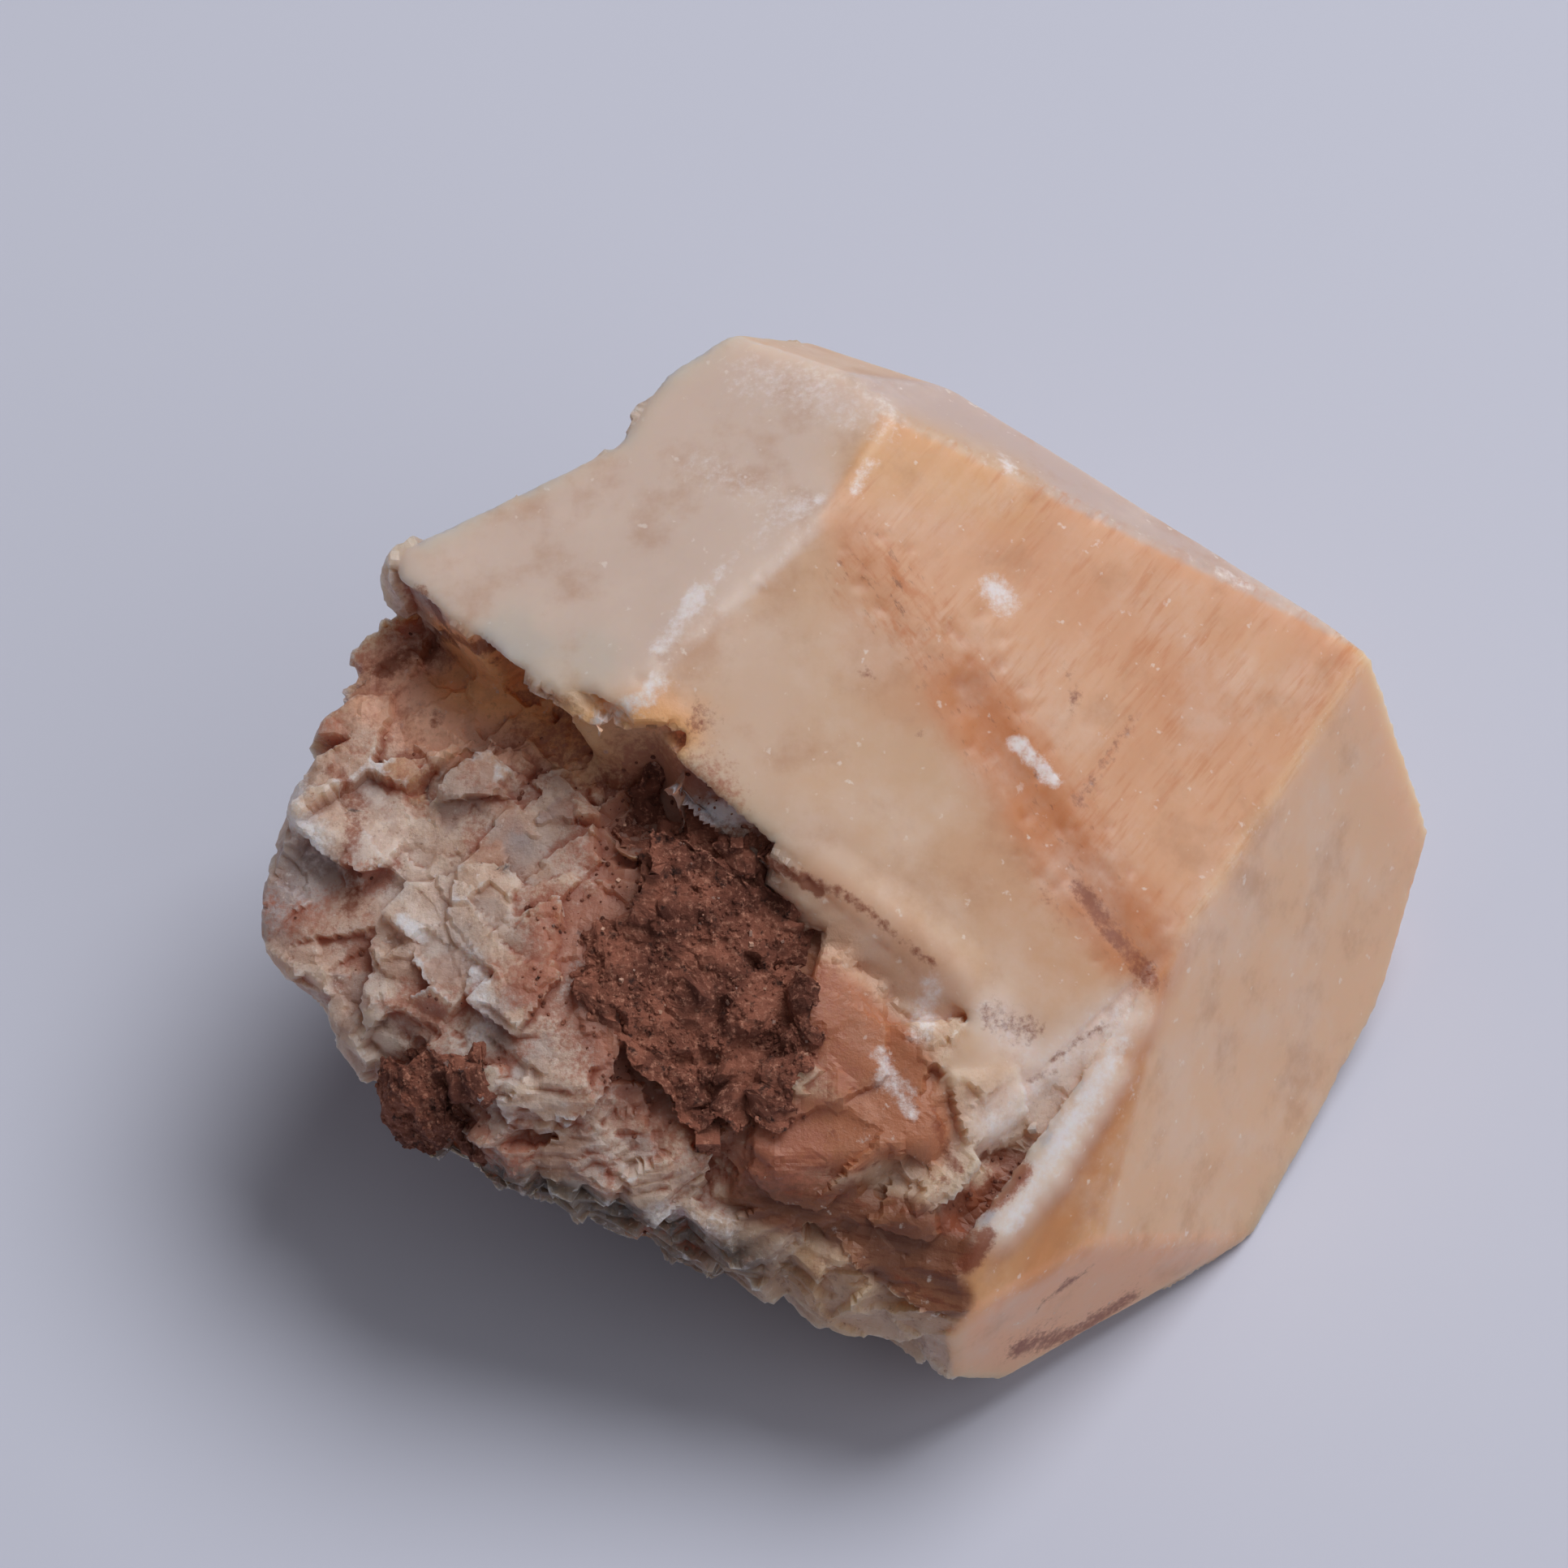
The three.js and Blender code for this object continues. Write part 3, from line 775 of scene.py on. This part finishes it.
brushed = on_face["striped_right"] * (0.55 + 0.45 * ramp(wide_streaks, -0.4, 0.8))
drawn_front = ramp(STRIPED_FRONT, 0.1, 0.7)
stained = ramp(np.max([SHEER_FACET, STRIPED_FRONT, STEP_WALL, STEP_FLOOR], axis=0), 0.1, 0.6)
grooved = ramp(near([(0.50, 0.66, 0.94)] + groove_path, 4.6), 0.0, 0.8)
torn_share = np.maximum(rugged, 0.6 * stained)
keep_colour(stone_mesh, "tint", tint)
finish_values = {
    "chalk": chalk,
    "rust": rust,
    "dust": dust,
    "broken": torn_share,
    "brushed": brushed,
    "drawn_front": drawn_front,
    "grooved": grooved,
    "stained": stained,
}
for name, values in finish_values.items():
    keep_value(stone_mesh, name, values)

# ------------------------------------------------------------------ finishes


def new_finish(name):
    """An empty finish and its node tree."""
    finish = bpy.data.materials.new(name)
    finish.use_nodes = True
    finish.node_tree.nodes.clear()
    return finish, finish.node_tree


def add(tree, kind, settings=None, **inputs):
    """A node with its settings, and its inputs given values or linked."""
    made = tree.nodes.new(kind)
    for key, value in (settings or {}).items():
        setattr(made, key, value)
    for key, value in inputs.items():
        feed(tree, made.inputs[key.replace("_", " ")], value)
    return made


def feed(tree, socket, value):
    """Links a socket to another one, or gives it a plain value."""
    if isinstance(value, bpy.types.NodeSocket):
        tree.links.new(value, socket)
    else:
        socket.default_value = value


def kept(tree, name, output="Fac"):
    """A value or colour kept on the mesh's points."""
    return add(tree, "ShaderNodeAttribute", {"attribute_name": name}).outputs[output]


def sums(tree, operation, first, second):
    """Two values put together by a maths operation."""
    node = add(tree, "ShaderNodeMath", {"operation": operation})
    feed(tree, node.inputs[0], first)
    feed(tree, node.inputs[1], second)
    return node.outputs[0]


def product(tree, *factors):
    """Several values multiplied together."""
    total = factors[0]
    for factor in factors[1:]:
        total = sums(tree, "MULTIPLY", total, factor)
    return total


def grains(tree, size, detail=4.0, roughness=0.55, drawn=None):
    """Noise with features of a size in millimetres, drawn out along a compass direction."""
    spots = add(tree, "ShaderNodeTexCoord").outputs["Object"]
    if drawn is not None:
        turned = add(tree, "ShaderNodeMapping", Vector=spots, Rotation=(0, 0, -math.radians(drawn)))
        spots = add(tree, "ShaderNodeMapping", Vector=turned.outputs[0], Scale=(0.14, 1, 1)).outputs[0]
    noise = add(tree, "ShaderNodeTexNoise", Vector=spots, Scale=1 / (size * MM), Detail=detail,
                Roughness=roughness)
    return noise.outputs["Fac"]


def threshold(tree, value, start, end):
    """0 before start, 1 after end, smooth between."""
    node = add(tree, "ShaderNodeMapRange", {"interpolation_type": "SMOOTHSTEP"}, Value=value)
    node.inputs["From Min"].default_value = start
    node.inputs["From Max"].default_value = end
    return node.outputs["Result"]


def blend(tree, amount, under, over):
    """One colour laid over another by an amount."""
    node = add(tree, "ShaderNodeMix", {"data_type": "RGBA", "blend_type": "MIX"})
    feed(tree, node.inputs[0], amount)
    for socket, colour in ((node.inputs[6], under), (node.inputs[7], over)):
        feed(tree, socket, colour if isinstance(colour, bpy.types.NodeSocket) else (*colour, 1))
    return node.outputs[2]


def speckled(tree, name, size, start, end, strength):
    """A kept value broken up by noise, so that its border is ragged."""
    ragged = product(tree, grains(tree, size, 6.0, 0.7), 1.3)
    mask = sums(tree, "ADD", kept(tree, name), ragged)
    return product(tree, threshold(tree, mask, start, end), strength)


def finish_off(tree, body, height, depth):
    """Gives a finish its fine relief, and its output."""
    relief = add(tree, "ShaderNodeBump", Height=height, Distance=depth * MM, Strength=1.0)
    tree.links.new(relief.outputs[0], body.inputs["Normal"])
    end = add(tree, "ShaderNodeOutputMaterial")
    tree.links.new(body.outputs[0], end.inputs["Surface"])


# Each drawn-out streak: the value that says where, its heading, its width, where it starts and
# is full, its strength and its colour.
STREAKS = (
    ("brushed", 54, 0.5, 0.46, 0.7, 0.6, ORANGE),
    ("grooved", -51, 0.7, 0.42, 0.7, 0.8, ORANGE),
    ("grooved", -51, 0.45, 0.58, 0.7, 0.6, UMBER),
    ("drawn_front", -12, 0.45, 0.52, 0.62, 0.95, UMBER),
)
# The flecks in the break: size, start, full, strength and colour. The white ones are crushed calcite and
# also painted glints.
TORN_FLECKS = (
    (3.0, 0.48, 0.62, 0.4, ROSE_SHADOW),
    (0.7, 0.56, 0.66, 0.55, RED_GRIT),
    (1.1, 0.6, 0.7, 0.6, WHITE_GRIT_GLINT),
)
# What lies on the stone: the value that says where, its grain, start, full, strength and colour.
COVERINGS = (
    ("dust", 0.45, 1.0, 1.5, 0.85, RED_DUST),
    ("chalk", 0.6, 1.0, 1.7, 0.92, CHALK),
    ("rust", 0.45, 0.95, 1.5, 0.85, IRON),
)
CLEARNESS, LOST_IN_BREAK, LOST_IN_STAIN = 0.85, 0.2, 0.3
LIGHT_REACH = 5.5  # how far light spreads inside the stone
LIGHT_TINT = (1.0, 0.7, 0.45)


def calcite_colour(tree):
    """The stone's tint under its veils, streaks, flecks, dust, chalk and rust."""
    colour = kept(tree, "tint", "Color")
    veils = threshold(tree, grains(tree, 7.0, 7.0, 0.6), 0.42, 0.7)
    clean = sums(tree, "SUBTRACT", 1.0, kept(tree, "stained"))
    colour = blend(tree, product(tree, veils, clean, 0.4), colour, VEIL)
    depths = threshold(tree, grains(tree, 5.0, 7.0, 0.62), 0.48, 0.75)
    colour = blend(tree, product(tree, depths, 0.45), colour, DEEP_HONEY)
    flecks = threshold(tree, grains(tree, 0.9, 4.0, 0.5), 0.66, 0.74)
    colour = blend(tree, product(tree, flecks, 0.5), colour, PALE_FLECK)
    for name, heading, width, start, full, strength, ink in STREAKS:
        streaks = threshold(tree, grains(tree, width, 4.0, 0.6, drawn=heading), start, full)
        clouds = threshold(tree, grains(tree, 4.5, 5.0), 0.34, 0.62)
        colour = blend(tree, product(tree, streaks, clouds, kept(tree, name), strength), colour, ink)
    torn = kept(tree, "broken")
    for size, start, full, strength, ink in TORN_FLECKS:
        grit = threshold(tree, grains(tree, size, 8.0, 0.75), start, full)
        colour = blend(tree, product(tree, grit, torn, strength), colour, ink)
    for name, size, start, full, strength, ink in COVERINGS:
        colour = blend(tree, speckled(tree, name, size, start, full, strength), colour, ink)
    return colour


def calcite_finish():
    finish, tree = new_finish("calcite")
    body = add(tree, "ShaderNodeBsdfPrincipled", Base_Color=calcite_colour(tree), Roughness=0.42, IOR=1.5)
    body.inputs["Subsurface Radius"].default_value = LIGHT_TINT
    body.inputs["Subsurface Scale"].default_value = LIGHT_REACH * MM
    clearness = sums(tree, "SUBTRACT", CLEARNESS, product(tree, kept(tree, "broken"), LOST_IN_BREAK))
    clearness = sums(tree, "SUBTRACT", clearness, product(tree, kept(tree, "stained"), LOST_IN_STAIN))
    tree.links.new(clearness, body.inputs["Subsurface Weight"])
    torn_grain = product(tree, grains(tree, 0.5, 5.0, 0.7), kept(tree, "broken"), 0.9)
    growth_grain = product(tree, grains(tree, 0.9, 3.0, 0.6, drawn=54), 0.12)
    finish_off(tree, body, sums(tree, "ADD", torn_grain, growth_grain), 0.18)
    return finish


def clay_finish():
    finish, tree = new_finish("red_clay")
    lumps = threshold(tree, grains(tree, 3.4, 5.0), 0.4, 0.62)
    colour = blend(tree, lumps, CLAY_RED, CLAY_DARK)
    specks = threshold(tree, grains(tree, 0.45, 5.0, 0.7), 0.5, 0.7)
    colour = blend(tree, specks, colour, CLAY_PALE)
    # Dark spots over the clay: painted shade in its holes.
    shaded_holes = threshold(tree, grains(tree, 1.3, 5.0, 0.7), 0.56, 0.68)
    colour = blend(tree, shaded_holes, colour, CLAY_HOLE_SHADE)
    body = add(tree, "ShaderNodeBsdfPrincipled", Base_Color=colour, Roughness=0.95, IOR=1.45)
    finish_off(tree, body, grains(tree, 0.35, 6.0, 0.75), 0.35)
    return finish


def grit_finish():
    finish, tree = new_finish("pale_grit")
    mottle = threshold(tree, grains(tree, 1.5, 2.0), 0.4, 0.6)
    colour = blend(tree, mottle, GRIT_WARM, GRIT_GREY)
    body = add(tree, "ShaderNodeBsdfPrincipled", Base_Color=colour, Roughness=0.5, IOR=1.5)
    finish_off(tree, body, grains(tree, 0.2, 3.0), 0.05)
    return finish


calcite, red_clay, pale_grit = calcite_finish(), clay_finish(), grit_finish()

# ------------------------------------------------------------------ the finished stone


def thinned(mesh, weights, share):
    """A copy with fewer triangles, taken away where the weights are high."""
    piece = new_piece("thick", mesh)
    group = piece.vertex_groups.new(name="thin_here")
    for level in range(0, 11):
        chosen = np.where(np.round(weights * 10) == level)[0]
        group.add(chosen.tolist(), level / 10, "REPLACE")
    modifier = piece.modifiers.new("thin", "DECIMATE")
    modifier.ratio = share
    modifier.vertex_group = group.name
    modifier.vertex_group_factor = 6.0
    bpy.context.view_layer.update()
    thin = plain_mesh(piece)
    bpy.data.objects.remove(piece)
    return thin


thin_stone = thinned(stone_mesh, 1 - eased(broken, stone_edges, 2), KEPT_SHARE)
torn_points = np.empty(len(thin_stone.vertices), dtype=np.float32)
thin_stone.attributes["broken"].data.foreach_get("value", torn_points)
first_corner = np.empty(len(thin_stone.polygons), dtype=np.int32)
thin_stone.polygons.foreach_get("loop_start", first_corner)
torn_faces = torn_points[corners_of(thin_stone)[first_corner]]
thin_stone.polygons.foreach_set("use_smooth", torn_faces < 0.5)  # the break stays sharp
thin_stone.materials.clear()
thin_stone.materials.append(calcite)
stone = new_piece("calcite_stone", thin_stone)

# ------------------------------------------------------------------ clay in the hollow and on the edge


def skin_of(amount, thickness):
    """Points and faces of a closed layer over the stone where the amount is above zero."""
    quads = corners_of(stone_mesh).reshape(-1, 4)
    chosen = quads[np.all(amount[quads] > 0, axis=1)]
    used, chosen = np.unique(chosen, return_inverse=True)
    chosen = chosen.reshape(-1, 4)
    count = len(used)
    lifted = surface[used] + outward[used] * thickness[used][:, None]
    sunk = surface[used] - outward[used] * CLAY_ROOT
    sides = np.concatenate([chosen[:, [i, (i + 1) % 4]] for i in range(4)])
    known = {tuple(side) for side in sides}
    rim = [(a, b) for a, b in known if (b, a) not in known]
    faces = [tuple(f) for f in chosen] + [tuple(f[::-1] + count) for f in chosen]
    faces += [(b, a, a + count, b + count) for a, b in rim]
    return np.concatenate([lifted, sunk]), faces


def clay_piece(name, node, amount, most):
    """A clay lump: the node's solid joined to a thin ragged skin around it."""
    ragged = np.where(amount > 0.03, amount + 0.3 * rough(first_surface, 2.6, 4, 71) - 0.22, -1)
    thickness = 0.12 + most * ramp(ragged, 0, 0.9)
    points, faces = skin_of(ragged, thickness)
    mesh = bpy.data.meshes.new(name)
    mesh.from_pydata([tuple(p * MM) for p in points], [], faces)
    shell = bmesh.new()
    shell.from_mesh(bpy.data.objects[node].data)
    shell.from_mesh(mesh)
    shell.to_mesh(mesh)
    shell.free()
    lump = remeshed(mesh, CLAY_GRAIN)
    grit = points_of(lump)
    edges = edges_of(lump)
    facing = unit(eased(normals_of(lump), edges, 2))
    relief = 0.9 * cloud(grit, 4.2, 80) + 0.4 * rough(grit, 1.9, 3, 81)
    relief += 0.18 * rough(grit, 0.7, 2, 82)
    relief -= 1.1 * ramp(rough(grit, 2.0, 2, 83), 0.35, 1.0) + 0.6
    move_points(lump, np.clip(grit + facing * relief[:, None], low, high))
    lump.polygons.foreach_set("use_smooth", np.zeros(len(lump.polygons), dtype=bool))
    lump.materials.clear()
    lump.materials.append(red_clay)
    return new_piece(name, lump)


CRUST = patch(
    ([(0.13, 0.22, 0.59), (0.16, 0.21, 0.59), (0.18, 0.20, 0.60)], 3.0),
    ([(0.14, 0.17, 0.51), (0.17, 0.17, 0.47)], 2.6),
)
hollow_clay = clay_piece("clay_fill", "clay_in_hollow", CLAY_HEART, 0.8)
edge_clay = clay_piece("clay_crust", "clay_on_edge", CRUST, 0.7)


# ------------------------------------------------------------------ crumbs and chips lying loose

FULL_TURN = 6.28
SLIMMEST, FATTEST = (0.6, 0.6, 0.6), (1.3, 1.1, 0.9)  # a crumb's three shares of its size


def scatter_tree(name, shape):
    """Geometry nodes that strew small solids over a mesh where its points say so."""
    tree = bpy.data.node_groups.new(name, "GeometryNodeTree")
    ports = {}
    tree.interface.new_socket("Bed", in_out="INPUT", socket_type="NodeSocketGeometry")
    for label, kind in (("Per square metre", "NodeSocketFloat"), ("Smallest", "NodeSocketFloat"),
                        ("Largest", "NodeSocketFloat"), ("Seed", "NodeSocketInt"),
                        ("Finish", "NodeSocketMaterial")):
        ports[label] = tree.interface.new_socket(label, in_out="INPUT", socket_type=kind).identifier
    tree.interface.new_socket("Pieces", in_out="OUTPUT", socket_type="NodeSocketGeometry")
    given = tree.nodes.new("NodeGroupInput").outputs
    amount = add(tree, "GeometryNodeInputNamedAttribute", {"data_type": "FLOAT"}, Name="strewn")
    density = sums(tree, "MULTIPLY", amount.outputs["Attribute"], given["Per square metre"])
    strewn = add(tree, "GeometryNodeDistributePointsOnFaces", Mesh=given["Bed"], Density=density,
                 Seed=given["Seed"])
    turn = add(tree, "FunctionNodeRandomValue", {"data_type": "FLOAT_VECTOR"}, Seed=given["Seed"])
    turn.inputs["Max"].default_value = (FULL_TURN, FULL_TURN, FULL_TURN)
    scale = add(tree, "FunctionNodeRandomValue", {"data_type": "FLOAT"}, Seed=given["Seed"])
    feed(tree, scale.inputs[2], given["Smallest"])
    feed(tree, scale.inputs[3], given["Largest"])
    uneven = add(tree, "FunctionNodeRandomValue", {"data_type": "FLOAT_VECTOR"}, Seed=given["Seed"])
    uneven.inputs["Min"].default_value = SLIMMEST
    uneven.inputs["Max"].default_value = FATTEST
    size = add(tree, "ShaderNodeVectorMath", {"operation": "SCALE"})
    feed(tree, size.inputs[0], uneven.outputs[0])
    feed(tree, size.inputs["Scale"], scale.outputs[1])
    solid = add(tree, shape)
    made = add(tree, "GeometryNodeInstanceOnPoints", Points=strewn.outputs["Points"],
               Instance=solid.outputs["Mesh"], Rotation=turn.outputs[0], Scale=size.outputs[0])
    real = add(tree, "GeometryNodeRealizeInstances", Geometry=made.outputs[0])
    done = add(tree, "GeometryNodeSetMaterial", Geometry=real.outputs[0], Material=given["Finish"])
    tree.links.new(done.outputs[0], tree.nodes.new("NodeGroupOutput").inputs[0])
    return tree, ports


def strew(name, tree_and_ports, beds, per_square_metre, smallest, largest, finish, seed):
    """Strews solids over (mesh, amount) beds and returns them as one plain piece."""
    tree, ports = tree_and_ports
    whole = bmesh.new()
    for bed, amount in beds:
        copy = bed.copy()
        keep_value(copy, "strewn", amount)
        piece = new_piece("bed", copy)
        modifier = piece.modifiers.new("strew", "NODES")
        modifier.node_group = tree
        settings = {"Per square metre": per_square_metre, "Smallest": smallest * MM,
                    "Largest": largest * MM, "Seed": seed, "Finish": finish}
        for label, value in settings.items():
            modifier[ports[label]] = value
        bpy.context.view_layer.update()
        whole.from_mesh(plain_mesh(piece))
        bpy.data.objects.remove(piece)
    mesh = bpy.data.meshes.new(name)
    whole.to_mesh(mesh)
    whole.free()
    mesh.materials.append(finish)
    return new_piece(name, mesh)


def clay_top(piece, seed):
    """Where crumbs lie on a clay lump: on its upper side, in drifts."""
    points, facing = points_of(piece.data), normals_of(piece.data)
    return ramp(facing[:, 2], -0.1, 0.4) * (0.35 + 0.65 * ramp(cloud(points, 2.5, seed), -0.3, 0.6))


crumb_tree = scatter_tree("crumbs", "GeometryNodeMeshIcoSphere")
chip_tree = scatter_tree("chips", "GeometryNodeMeshCube")
loose_dust = ramp(dust, 0.6, 1.0) * ramp(outward[:, 2], 0, 0.5)
crumbs = strew(
    "clay_crumbs", crumb_tree,
    [(hollow_clay.data, clay_top(hollow_clay, 91)), (edge_clay.data, clay_top(edge_clay, 92)),
     (stone_mesh, 0.22 * loose_dust)],
    per_square_metre=6.0e6, smallest=0.05, largest=0.26, finish=red_clay, seed=5)
chips = strew(
    "calcite_chips", chip_tree,
    [(hollow_clay.data, clay_top(hollow_clay, 93)), (stone_mesh, 0.4 * loose_dust)],
    per_square_metre=1.6e5, smallest=0.08, largest=0.36, finish=pale_grit, seed=8)

for piece, slot in ((stone, "calcite"), (hollow_clay, "clay"), (edge_clay, "clay"),
                    (crumbs, "clay"), (chips, "calcite")):
    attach(piece, "root")
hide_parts("calcite_crystal")
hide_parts("clay_in_hollow")
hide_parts("clay_on_edge")

# ------------------------------------------------------------------ floor, light and camera

CAMERA_RISE = 58  # degrees above level
CAMERA_AWAY = 330
FIELD = 114  # width of the view at the specimen
SENSOR = 36
AIM_BESIDE = (-6.0, 5.9, 0.0)  # where the camera looks, from the middle of the specimen's box
TABLE_REACH = 2.0  # metres
DAYLIGHT = (1.0, 0.985, 0.97)
ROOM_AIR, AIR_STRENGTH = (0.98, 0.95, 0.97, 1), 0.13

table = bpy.data.meshes.new("table")
table_corners = [(x * TABLE_REACH, y * TABLE_REACH, 0) for x, y in ((-1, -1), (1, -1), (1, 1), (-1, 1))]
table.from_pydata(table_corners, [], [(0, 1, 2, 3)])
floor = new_piece("table", table)
paper, paper_tree = new_finish("paper")
sheet = add(paper_tree, "ShaderNodeBsdfPrincipled", Roughness=0.8)
sheet.inputs["Base Color"].default_value = (*PAPER, 1)
paper_end = add(paper_tree, "ShaderNodeOutputMaterial")
paper_tree.links.new(sheet.outputs[0], paper_end.inputs["Surface"])
table.materials.append(paper)


def soft_light(name, azimuth, rise, away, size, power, colour):
    """A round lamp that faces the specimen, its place and size in metres."""
    lamp = bpy.data.lights.new(name, "AREA")
    lamp.shape = "DISK"
    lamp.size = size
    lamp.energy = power
    lamp.color = colour
    light = bpy.data.objects.new(name, lamp)
    direction = Vector(looking(azimuth, 90 - rise))
    light.location = direction * away
    light.rotation_euler = direction.to_track_quat("Z", "Y").to_euler()
    bpy.context.scene.collection.objects.link(light)
    return light


soft_light("window", azimuth=48, rise=59, away=1.5, size=1.0, power=17.0, colour=DAYLIGHT)
soft_light("room", azimuth=-28, rise=42, away=1.5, size=1.5, power=4.4, colour=DAYLIGHT)

world = bpy.data.worlds.new("room_air")
world.use_nodes = True
world.node_tree.nodes["Background"].inputs["Color"].default_value = ROOM_AIR
world.node_tree.nodes["Background"].inputs["Strength"].default_value = AIR_STRENGTH
bpy.context.scene.world = world
bpy.context.scene.view_settings.view_transform = "Standard"

aim = (low + high) / 2 + np.array(AIM_BESIDE)
camera_data = bpy.data.cameras.new("camera")
camera_data.sensor_width = SENSOR
camera_data.lens = SENSOR * CAMERA_AWAY / FIELD
camera_data.clip_start = 0.01
camera = bpy.data.objects.new("camera", camera_data)
back = Vector(looking(-90, 90 - CAMERA_RISE))
camera.location = Vector(aim * MM) + back * CAMERA_AWAY * MM
camera.rotation_euler = back.to_track_quat("Z", "Y").to_euler()
bpy.context.scene.collection.objects.link(camera)
bpy.context.scene.camera = camera
